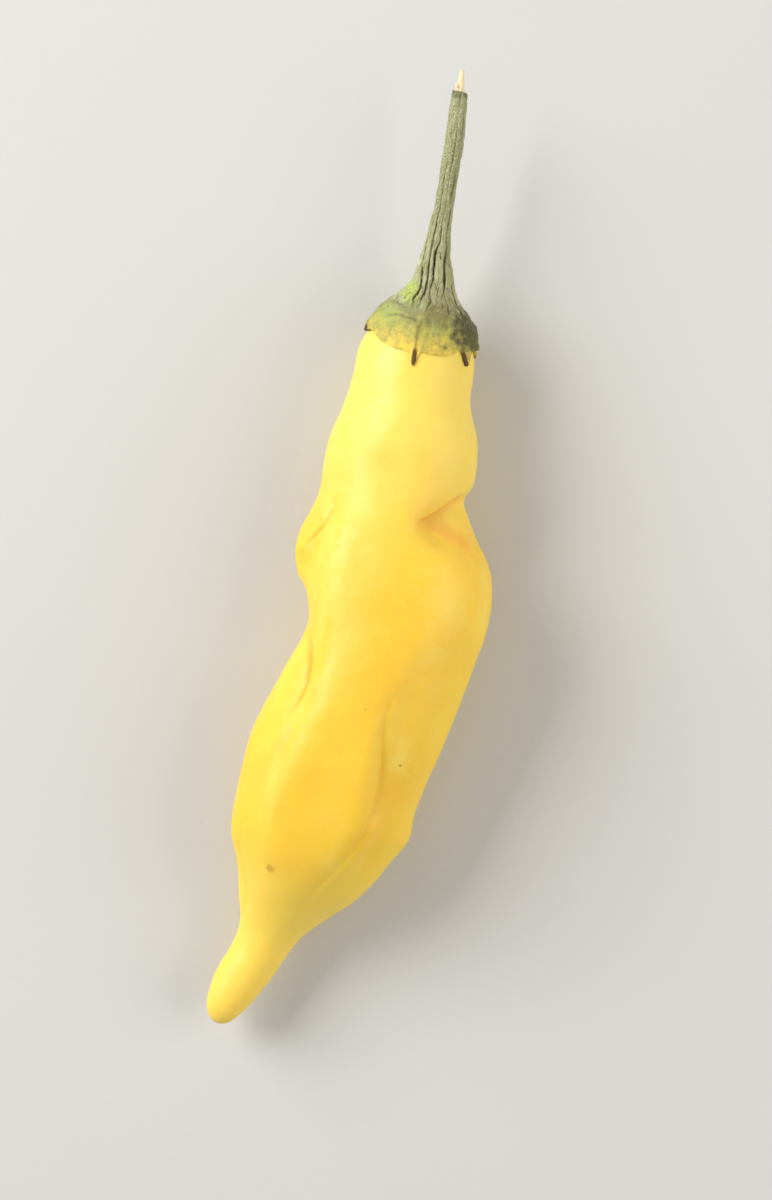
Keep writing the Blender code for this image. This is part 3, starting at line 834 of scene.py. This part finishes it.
def skin_finish(settings, pod):
    skin = Finish("pod skin")
    along = skin.stretched((1, 0.35, 1))
    broad = skin.clouds(14, 2)
    patches = skin.clouds(5, 4, 0.55, along)
    colour = skin.mix(skin.spread(broad, 0.35, 0.65, 0.55, 1), settings.gold, settings.lemon)
    colour = skin.mix(skin.spread(patches, 0.5, 0.75, 0, 0.45), colour, settings.pale)
    # Deeper skin colour, with painted shade in the hollow under the shoulder's lobe.
    deeper_and_shaded = skin.times(skin.attribute("deeper_and_shaded"), skin.spread(patches, 0.3, 0.6, 0.5, 1))
    colour = skin.mix(deeper_and_shaded, colour, settings.gold)
    # Painted shade: where the share is high, most of all in the hollow under the shoulder's lobe,
    # the shade colour is mixed in.
    colour = skin.mix(skin.spread(deeper_and_shaded, 0.35, 0.95, 0, 0.5), colour, settings.shade)
    mottled = skin.spread(skin.clouds(2.2, 4, 0.6, distortion=0.8), 0.36, 0.62, 0.1, 0.85)
    # Pale mottling, with a painted highlight down the left ridge.
    paler_and_highlight = skin.times(skin.attribute("paler_and_highlight"), mottled)
    colour = skin.mix(paler_and_highlight, colour, settings.pale)
    blots = skin.clouds(1.7, 5, 0.65, distortion=0.6)
    colour = skin.mix(skin.spread(blots, 0.52, 0.72, 0, 0.18), colour, settings.pale)
    colour = skin.mix(skin.spread(blots, 0.46, 0.3, 0, 0.2), colour, settings.gold)
    tall = skin.node("ShaderNodeSeparateXYZ", {"Vector": skin.object_place}).outputs["Y"]
    shoulder = skin.spread(tall, frame_y(-30), frame_y(-8), 0, 0.75)
    colour = skin.mix(shoulder, colour, settings.pale)
    tail = skin.spread(tall, frame_y(-60), frame_y(-73), 0, 0.5)
    colour = skin.mix(tail, colour, settings.pale)
    fine = skin.clouds(0.9, 3, 0.6, along)
    colour = skin.mix(skin.spread(fine, 0.35, 0.7, 0, 0.12), colour, settings.lemon)
    # Painted shade inside the creases.
    deep = skin.spread(skin.attribute("crease"), 0.12, 0.6, 0, 0.5)
    colour = skin.mix(deep, colour, settings.shade)
    scar_place = top_place(pod, *SCAR)
    scar = skin.near(scar_place, 0.3, 0.82, (1.0, 1.1, 0.8), 0.3, 0.8)
    dot = skin.near(top_place(pod, *DOT), 0.1, 0.24)
    halo = skin.near(top_place(pod, *DOT_HALO), 0.3, 1.6, ragged=0.5)
    speck = skin.near(top_place(pod, *SPECK), 0.06, 0.18)
    faint = skin.near(top_place(pod, *FAINT_SPECK), 0.1, 0.35)
    colour = skin.mix(skin.times(halo, 0.4), colour, settings.pale)
    for mark, strength in ((scar, 0.58), (dot, 0.8), (speck, 0.7), (faint, 0.25)):
        colour = skin.mix(skin.times(mark, strength), colour, settings.scar)
    waxy = skin.spread(skin.clouds(3, 3, 0.6), 0.3, 0.7, -0.06, 0.08)
    roughness = skin.plus(waxy, settings.roughness)
    pores = skin.bump(skin.clouds(0.45, 2, 0.5), 0.012)
    dimples = skin.bump(skin.clouds(1.6, 3, 0.5, along), 0.04, pores)
    hollow = skin.bump(skin.times(scar, -1.0), 0.03, dimples)
    return skin.finish(
        colour,
        roughness,
        hollow,
        Subsurface_Weight=0.5,
        Subsurface_Radius=(1.0, 0.42, 0.1),
        Subsurface_Scale=1.7 * MM,
        Specular_IOR_Level=0.5,
        Coat_Weight=0.05,
        Coat_Roughness=0.3,
    )


def green_finish(settings, name):
    """The calyx's and the stem's skin, whose colours run on from one to the other."""
    green = Finish(name)
    line = green.attribute("line")
    rib = green.attribute("rib")
    along = green.node("ShaderNodeSeparateXYZ", {"Vector": green.object_place}).outputs["Y"]
    mottle = green.clouds(1.1, 4, 0.65)
    grain = green.clouds(0.3, 3, 0.6)
    fibres = green.clouds(0.25, 3, 0.6, green.stretched((1, 0.12, 1)))
    streaks = green.clouds(0.8, 3, 0.6, green.stretched((1, 0.2, 1)))
    uneven = green.spread(mottle, 0.3, 0.7, -0.9 * MM, 0.9 * MM)
    height = green.plus(along, uneven)

    def above(low, high):
        return green.spread(height, frame_y(low), frame_y(high))

    def patch(x, y, low, high, squash):
        radius = float(by_table(y, GREEN_OUTLINE))
        z = FOOT_Z + math.sqrt(max(radius**2 - x**2, 0))
        return green.near(place(x, y, z), low, high, squash, 0.28 * high, 0.8)

    colour = green.mix(above(-2.2, -0.7), settings.edge, settings.straw)
    colour = green.mix(above(-1.0, 0.8), colour, settings.lemon_green)
    blotch = green.spread(streaks, 0.42, 0.66, 0, 0.42)
    colour = green.mix(blotch, colour, settings.olive)
    blotch = green.spread(green.clouds(0.6, 4, 0.7), 0.5, 0.72, 0, 0.4)
    colour = green.mix(blotch, colour, settings.bark)
    colour = green.mix(above(0.8, 2.8), colour, settings.olive)
    colour = green.mix(above(2.6, 5.0), colour, settings.sage)
    stem_tone = green.mix(green.spread(streaks, 0.4, 0.75), settings.sage, settings.olive)
    colour = green.mix(above(5.0, 8.0), colour, stem_tone)
    for x, y, low, high, squash, strength, tone in GREEN_PATCHES:
        share = green.times(patch(x, y, low, high, squash), strength)
        colour = green.mix(share, colour, getattr(settings, tone))
    upwards = above(1.0, 4.0)
    # Pale speckles of the upper stem's grain, which also stand for its small glints: painted
    # highlights.
    grain_glints = green.clouds(0.2, 2, 0.6)
    upper_stem = green.spread(along, frame_y(9), frame_y(16))
    light = green.times(green.spread(grain_glints, 0.5, 0.66, 0, 0.7), upper_stem)
    colour = green.mix(light, colour, settings.pale_sage)
    cells = green.cells(0.34, green.stretched((1, 0.62, 1)))
    gaps = green.times(green.spread(cells, 0.15, 0.0, 0, 0.65), upper_stem)
    colour = green.mix(gaps, colour, settings.olive)
    torn = green.spread(height, frame_y(27.6), frame_y(29.2), 0, 0.6)
    colour = green.mix(torn, colour, settings.moss_and_shade)
    bud = green.near(BUD_SCAR, 0.2, 0.7)
    colour = green.mix(bud, colour, settings.pale_sage)
    flecks = green.times(green.spread(grain, 0.5, 0.75, 0, 0.4), upwards)
    colour = green.mix(flecks, colour, settings.bark)
    pale = green.times(green.spread(fibres, 0.48, 0.7, 0, 0.55), upwards)
    colour = green.mix(pale, colour, settings.sage)
    # Painted shade in the grooves and wrinkles.
    colour = green.mix(green.spread(line, 0.15, 0.8, 0, 0.92), colour, settings.moss_and_shade)
    on_rib = green.spread(rib, 0.1, 0.9)
    dried = green.spread(along, frame_y(2.4), frame_y(0.2), 0, 0.55)
    colour = green.mix(green.times(on_rib, dried), colour, settings.bark)
    tooth = green.spread(green.attribute("tooth"), 0.15, 0.7)
    colour = green.mix(tooth, colour, settings.brown)
    roughness = green.spread(mottle, 0.3, 0.7, 0.52, 0.7)
    fine = green.bump(grain, 0.06)
    middle = green.bump(fibres, 0.06, fine)
    scaly = green.times(green.spread(cells, 0.0, 0.3), upper_stem)
    scales = green.bump(scaly, 0.07, middle)
    coarse = green.bump(mottle, 0.14, scales)
    return green.finish(
        colour,
        roughness,
        coarse,
        Subsurface_Weight=0.1,
        Subsurface_Radius=(0.6, 0.7, 0.2),
        Subsurface_Scale=0.6 * MM,
        Specular_IOR_Level=0.35,
    )


def wood_finish(settings):
    wood = Finish("torn wood")
    fibres = wood.clouds(0.12, 3, 0.6, wood.stretched((1, 0.08, 1)))
    stain = wood.clouds(0.6, 3, 0.6)
    colour = wood.mix(
        wood.spread(fibres, 0.35, 0.7, 0, 0.5), settings.wood, settings.dark_wood
    )
    colour = wood.mix(wood.spread(stain, 0.55, 0.75, 0, 0.5), colour, settings.brown)
    ridges = wood.bump(fibres, 0.05)
    return wood.finish(colour, wood.spread(stain, 0.3, 0.7, 0.6, 0.8), ridges)


def hand_over(piece, node, material):
    """Puts the piece in its solid's place."""
    piece.data.materials.append(material)
    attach(piece, "root")
    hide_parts(node)


class CHILLI_OT_pod(bpy.types.Operator):
    """Make the pod's skin with its folds and creases"""

    bl_idname = "chilli.pod"
    bl_label = "Pod"

    def execute(self, context):
        settings = context.scene.chilli_pod
        pod = copy_of_solid("pod", "pod_skin")
        subdivide(pod, settings.smoothing)
        for reach in FINER_WITHIN:
            refine_near_creases(pod, reach)
        height = points_of(pod)[:, 2] / MM
        free = smooth_step(0.3, 2.5, height)
        roughen(pod, "broad unevenness", BROAD_LUMPS * MM, settings.undulation, free)
        height = settings.undulation * SMALL_SHARE
        roughen(pod, "small unevenness", SMALL_LUMPS * MM, height, free)
        seen = as_seen(points_of(pod))
        forms = sum(crease_push(seen, form)[0] for form in SOFT_FORMS)
        push(pod, "soft forms", forms * upper_side(pod) * MM)
        seen = as_seen(points_of(pod))
        upper = upper_side(pod)
        pushes = [crease_push(seen, crease)[0] * upper for crease in CREASES]
        push(pod, "creases", sum(pushes) * MM)
        # Painted shade inside the creases, kept for the material, less in the soft grooves.
        crease_shade_shares = [1 if crease["power"] == 1 else SOFT_GROOVE_SHADE for crease in CREASES]
        remember(pod, "crease", -sum(move * tint for move, tint in zip(pushes, crease_shade_shares)))
        # Deeper skin with painted shade, and pale mottling with a painted highlight, kept for the
        # material.
        for name, places in (("deeper_and_shaded", DEEPER_AND_SHADED), ("paler_and_highlight", PALER_AND_HIGHLIGHT)):
            tint = sum(crease_push(seen, spot)[0] for spot in places) * -upper
            remember(pod, name, np.clip(tint, 0, 1))
        hand_over(pod, "pod", skin_finish(settings, pod))
        return {"FINISHED"}


def hidden_teeth(angle, y):
    """How dark each place of the calyx is: 1 at the tip of a tooth that isn't on top."""
    dark = np.zeros(len(angle))
    for degrees, tip, width in HIDDEN_TEETH:
        turn = (angle - degrees + 180) % 360 - 180
        beside = bell(turn, 0.55 * width)
        dark = np.maximum(dark, beside * smooth_step(1.4, tip, y))
    return dark


def hug(piece, target, weights, gap):
    """Brings the vertices to this distance from the target's surface, by weight."""
    select_only(piece)
    weigh(piece, "hug", weights)
    wrap = piece.modifiers.new("hug", "SHRINKWRAP")
    wrap.target = target
    wrap.vertex_group = "hug"
    wrap.wrap_mode = "ABOVE_SURFACE"
    wrap.offset = gap
    bpy.ops.object.modifier_apply(modifier="hug")
    piece.vertex_groups.remove(piece.vertex_groups["hug"])


def close_hem(piece):
    """Closes the one open edge of the piece with a face."""
    select_only(piece)
    bpy.ops.object.mode_set(mode="EDIT")
    bpy.ops.mesh.select_mode(type="EDGE")
    bpy.ops.mesh.select_all(action="DESELECT")
    bpy.ops.mesh.select_non_manifold(use_wire=False, use_multi_face=False, use_non_contiguous=False)
    bpy.ops.mesh.edge_face_add()
    bpy.ops.mesh.select_mode(type="VERT")
    bpy.ops.object.mode_set(mode="OBJECT")


def table_places(piece):
    """Each vertex's x, y and z in the tables' millimetres."""
    return points_of(piece) / MM - np.array([*RIM_MIDDLE, 0])


class CHILLI_OT_calyx(bpy.types.Operator):
    """Make the calyx, close round the pod's shoulder, with its toothed edge"""

    bl_idname = "chilli.calyx"
    bl_label = "Calyx"

    def execute(self, context):
        settings = context.scene.chilli_green
        pod = bpy.data.objects["pod_skin"]
        calyx = copy_of_solid("calyx", "calyx_cap")
        subdivide(calyx, 2)
        places = table_places(calyx)
        seen = as_seen(points_of(calyx))
        outward = places * (1, 0, 1) - (CALYX_AXIS[0], 0, CALYX_AXIS[1])
        lining = (normals_of(calyx) * outward).sum(axis=1) < -0.3
        top = smooth_step(8.0, 11.0, places[:, 2])
        shift = by_table(seen[:, 0], HEM_SHIFT) * smooth_step(3.2, 0.2, places[:, 1])
        push(calyx, "hem shift", -shift * top * MM, "Y")
        for x, aside, down, pinch in UPPER_TEETH:
            across = seen[:, 0] - x
            rim = smooth_step(0.3, -0.8, places[:, 1]) * top
            tip = smooth_step(-0.2, -1.5, places[:, 1]) * bell(across, TOOTH_WIDTH) * top
            beside = bell(np.abs(across) - NOTCH_ASIDE, NOTCH_WIDTH)
            push(calyx, "beside the tooth", NOTCH_DEPTH * beside * rim * MM, "Y")
            push(calyx, "tooth down", down * tip * MM, "Y")
            push(calyx, "tooth aside", (aside - pinch * across) * tip * MM, "X")
        around = np.degrees(np.arctan2(places[:, 2] - FOOT_Z, places[:, 0]))
        middle, reach, distance = RIGHT_SIDE
        right = bell(around - middle, reach) * smooth_step(5.0, 3.0, places[:, 1])
        push(calyx, "right side", distance * right * MM, "X")
        edge = smooth_step(3.4, 0.6, table_places(calyx)[:, 1])
        edge *= 0.3 + 0.7 * smooth_step(9.0, 12.5, places[:, 2])
        hug(calyx, pod, edge * ~lining, EDGE_GAP * MM)
        hug(calyx, pod, edge * lining, -LINING_SINK * MM)

        seen = as_seen(points_of(calyx))
        places = table_places(calyx)
        upper = upper_side(calyx) * ~lining
        wrinkles = 0.7 * sum(crease_push(seen, wrinkle)[0] for wrinkle in WRINKLES) * upper
        ribs = sum(crease_push(seen, rib)[0] for rib in TOOTH_RIBS) * upper
        angle, groove = stem_groove(places)
        groove = groove * smooth_step(2.6, 4.2, places[:, 1]) * ~lining
        push(calyx, "wrinkles", wrinkles * MM)
        push(calyx, "ribs", 0.55 * ribs * MM)
        push(calyx, "grooves", -settings.groove * groove)
        loose = np.where(lining, 0.0, 1 - 0.6 * smooth_step(0.5, -1.0, places[:, 1]))
        roughen(calyx, "puckers", 1.4 * MM, 0.5 * MM, loose)
        roughen(calyx, "small puckers", 0.45 * MM, 0.14 * MM, loose)
        dark = hidden_teeth(angle, places[:, 1]) * (1 - upper)
        for rib in TOOTH_RIBS:
            near = bell(crease_push(seen, rib)[1], DARK_REACH)
            dark = np.maximum(dark, near * smooth_step(*rib["dark"], seen[:, 1]) * upper)
        remember(calyx, "rib", np.clip(ribs / 0.13, 0, 1))
        remember(calyx, "tooth", dark)
        # Painted shade in the wrinkles and grooves, kept for the material.
        remember(calyx, "line", np.clip(-wrinkles / 0.25, 0, 1) * 0.8 + groove)
        hand_over(calyx, "calyx", green_finish(settings, "calyx"))
        return {"FINISHED"}


def ring_at(y):
    """x, z and radius of the stem's ring at y, or at each y of a list."""
    return [np.interp(y, STEM_RINGS[:, 0], STEM_RINGS[:, column]) for column in (1, 2, 3)]


def stem_groove(places):
    """Each place's angle round the stem, in degrees, and how deep in a groove it is."""
    y = places[:, 1]
    middle_x, middle_z, radius = ring_at(y)
    angle = np.degrees(np.arctan2(places[:, 2] - middle_z, places[:, 0] - middle_x))
    groove = np.zeros(len(y))
    thin = by_table(y, GROOVE_WIDTHS)
    for index, (*degrees, depth) in enumerate(STEM_GROOVES):
        wander = np.array([noise.noise(Vector((value * 0.5, index * 7.3, 0))) for value in y])
        strength = np.array([noise.noise(Vector((value * 0.3, index * 3.1, 5))) for value in y])
        line = np.interp(y, GROOVE_STATIONS, degrees) + GROOVE_WANDER * wander
        turn = (angle - line + 180) % 360 - 180
        beside = np.radians(np.abs(turn)) * radius
        dip = 0.68 * bell(beside, thin) + 0.32 * np.exp(-beside / (2.6 * thin))
        groove = np.maximum(groove, depth * dip * np.clip(1 + 0.9 * strength, 0.3, 1.4))
    turn = np.radians(angle)
    fine = np.array(
        [
            noise.noise(Vector((6 * math.cos(a), 6 * math.sin(a), 0.45 * v)))
            for a, v in zip(turn, y)
        ]
    )
    wrinkle = 0.55 * bell(fine, 0.07)
    return angle, np.maximum(groove, wrinkle)


class CHILLI_OT_stem(bpy.types.Operator):
    """Make the ribbed stem, whose foot flows over the calyx"""

    bl_idname = "chilli.stem"
    bl_label = "Stem"

    def execute(self, context):
        settings = context.scene.chilli_green
        hem_y, end_y = STEM_RINGS[0, 0], STEM_RINGS[-1, 0]
        lower_rows = np.arange(hem_y, ROWS_CHANGE_AT, ROW_STEPS[0])
        upper_rows = np.arange(ROWS_CHANGE_AT, end_y, ROW_STEPS[1])
        rows = np.concatenate([lower_rows, upper_rows, [end_y]])
        x, z, radius = ring_at(rows[0])
        start = place(x, rows[0], z)
        select_none()
        bpy.ops.mesh.primitive_circle_add(
            vertices=POINTS_ROUND, radius=radius * MM, location=start, rotation=(math.pi / 2, 0, 0)
        )
        stem = context.object
        stem.name = stem.data.name = "stem_stalk"
        bpy.ops.object.transform_apply(location=True, rotation=True, scale=True)
        bpy.ops.object.mode_set(mode="EDIT")
        bpy.ops.mesh.select_all(action="SELECT")
        for y in rows[1:]:
            x, z, next_radius = ring_at(y)
            end = place(x, y, z)
            bpy.ops.mesh.extrude_edges_move(TRANSFORM_OT_translate={"value": end - start})
            size = next_radius / radius
            bpy.ops.transform.resize(value=(size, size, size), center_override=end)
            start, radius = end, next_radius
        # The green skin turns in over the torn end.
        for sink, share in TORN_EDGE:
            bpy.ops.mesh.extrude_edges_move(
                TRANSFORM_OT_translate={"value": (0, sink * MM, 0)}
            )
            bpy.ops.transform.resize(value=(share,) * 3, center_override=start)
        bpy.ops.mesh.edge_face_add()
        bpy.ops.mesh.select_all(action="SELECT")
        bpy.ops.mesh.normals_make_consistent(inside=False)
        bpy.ops.mesh.faces_shade_smooth()
        bpy.ops.object.mode_set(mode="OBJECT")
        subdivide(stem, 1)

        places = table_places(stem)
        y = places[:, 1]
        groove = stem_groove(places)[1] * smooth_step(2.6, 4.2, y)
        push(stem, "grooves", -settings.groove * groove * by_table(y, GROOVE_DEPTHS))
        # Painted shade in the grooves, kept for the material.
        remember(stem, "line", groove * by_table(y, GROOVE_SHADE))
        for name in ("rib", "tooth"):
            remember(stem, name, np.zeros(len(y)))
        roughen(stem, "lumps", 1.6 * MM, 0.22 * MM)
        roughen(stem, "small lumps", 0.5 * MM, 0.17 * MM)
        away = np.linalg.norm(points_of(stem) - np.array(BUD_SCAR), axis=1) / MM
        push(stem, "bud scar", 0.28 * MM * bell(away, 0.6))
        calyx = bpy.data.objects["calyx_cap"]
        hem = smooth_step(4.6, 3.2, table_places(stem)[:, 1])
        hug(stem, calyx, hem, -FOOT_SINK * MM)
        close_hem(stem)
        hand_over(stem, "stem", green_finish(settings, "stem"))
        return {"FINISHED"}


class CHILLI_OT_torn_wood(bpy.types.Operator):
    """Make the torn wood that stands out of the stem"""

    bl_idname = "chilli.torn_wood"
    bl_label = "Torn wood"

    def execute(self, context):
        settings = context.scene.chilli_green
        wood = copy_of_solid("stem_core", "stem_wood")
        subdivide(wood, 2)
        low = table_places(wood)[:, 1]
        push(wood, "thicker", 0.12 * MM * smooth_step(28.0, 30.5, low))
        roughen(wood, "torn fibres", 0.35 * MM, 0.16 * MM)
        hand_over(wood, "stem_core", wood_finish(settings))
        return {"FINISHED"}


class CHILLI_OT_stage(bpy.types.Operator):
    """Make the floor, the soft lights and the camera"""

    bl_idname = "chilli.stage"
    bl_label = "Stage"

    def execute(self, context):
        settings = context.scene.chilli_stage
        scene = context.scene
        if bpy.context.mode != "OBJECT":
            bpy.ops.object.mode_set(mode="OBJECT")
        bpy.ops.mesh.primitive_plane_add(size=2.4, location=(0, 0, 0))
        floor = context.object
        floor.name = "floor"
        ground = Finish("floor")
        tone = ground.mix(
            ground.spread(ground.clouds(30, 3), 0.3, 0.7, 0, 0.08),
            settings.floor,
            settings.cloud,
        )
        grain = ground.bump(ground.clouds(0.8, 2), 0.02)
        floor.data.materials.append(ground.finish(tone, 0.7, grain))

        aim = place(*AIM, AIM_HEIGHT)
        up = Vector((-math.sin(settings.roll), math.cos(settings.roll), 0))
        right = Vector((up.y, -up.x, 0))
        for name, (across, along, above), size, share, tint in LIGHTS:
            light = bpy.data.lights.new(name, "AREA")
            light.energy = settings.key * share
            light.size = size
            light.color = tint
            lamp = bpy.data.objects.new(name, light)
            lamp.location = aim + right * across + up * along + Vector((0, 0, above))
            lamp.rotation_euler = (aim - lamp.location).to_track_quat("-Z", "Y").to_euler()
            scene.collection.objects.link(lamp)

        world = bpy.data.worlds.new("soft room")
        world.use_nodes = True
        sky = world.node_tree.nodes["Background"]
        sky.inputs["Color"].default_value = settings.room
        sky.inputs["Strength"].default_value = settings.room_light
        scene.world = world
        scene.view_settings.view_transform = "Standard"

        lens = bpy.data.cameras.new("camera")
        lens.lens = settings.lens
        lens.clip_start = 0.01
        camera = bpy.data.objects.new("camera", lens)
        camera.location = aim + Vector((0, 0, CAMERA_DISTANCE * MM))
        camera.rotation_euler = (0, 0, settings.roll)
        scene.collection.objects.link(camera)
        scene.camera = camera
        return {"FINISHED"}


OPERATORS = (
    CHILLI_OT_pod,
    CHILLI_OT_calyx,
    CHILLI_OT_stem,
    CHILLI_OT_torn_wood,
    CHILLI_OT_stage,
)


class CHILLI_PT_panel(bpy.types.Panel):
    """Lists the pepper's pieces and their settings"""

    bl_label = "Chilli pepper"
    bl_idname = "CHILLI_PT_panel"
    bl_space_type = "VIEW_3D"
    bl_region_type = "UI"
    bl_category = "Chilli"

    def draw(self, context):
        for operator in OPERATORS:
            self.layout.operator(operator.bl_idname)
        for group in ("chilli_pod", "chilli_green", "chilli_stage"):
            settings = getattr(context.scene, group)
            box = self.layout.box()
            for name in settings.__annotations__:
                box.prop(settings, name)


GROUPS = {
    "chilli_pod": PodSettings,
    "chilli_green": GreenSettings,
    "chilli_stage": StageSettings,
}
CLASSES = (*GROUPS.values(), *OPERATORS, CHILLI_PT_panel)


def register():
    for kind in CLASSES:
        bpy.utils.register_class(kind)
    for name, kind in GROUPS.items():
        setattr(bpy.types.Scene, name, PointerProperty(type=kind))


def unregister():
    for name in GROUPS:
        delattr(bpy.types.Scene, name)
    for kind in reversed(CLASSES):
        bpy.utils.unregister_class(kind)


def main():
    register()
    bpy.ops.chilli.stage()
    bpy.ops.chilli.pod()
    bpy.ops.chilli.calyx()
    bpy.ops.chilli.stem()
    bpy.ops.chilli.torn_wood()


if __name__ == "__main__":
    main()
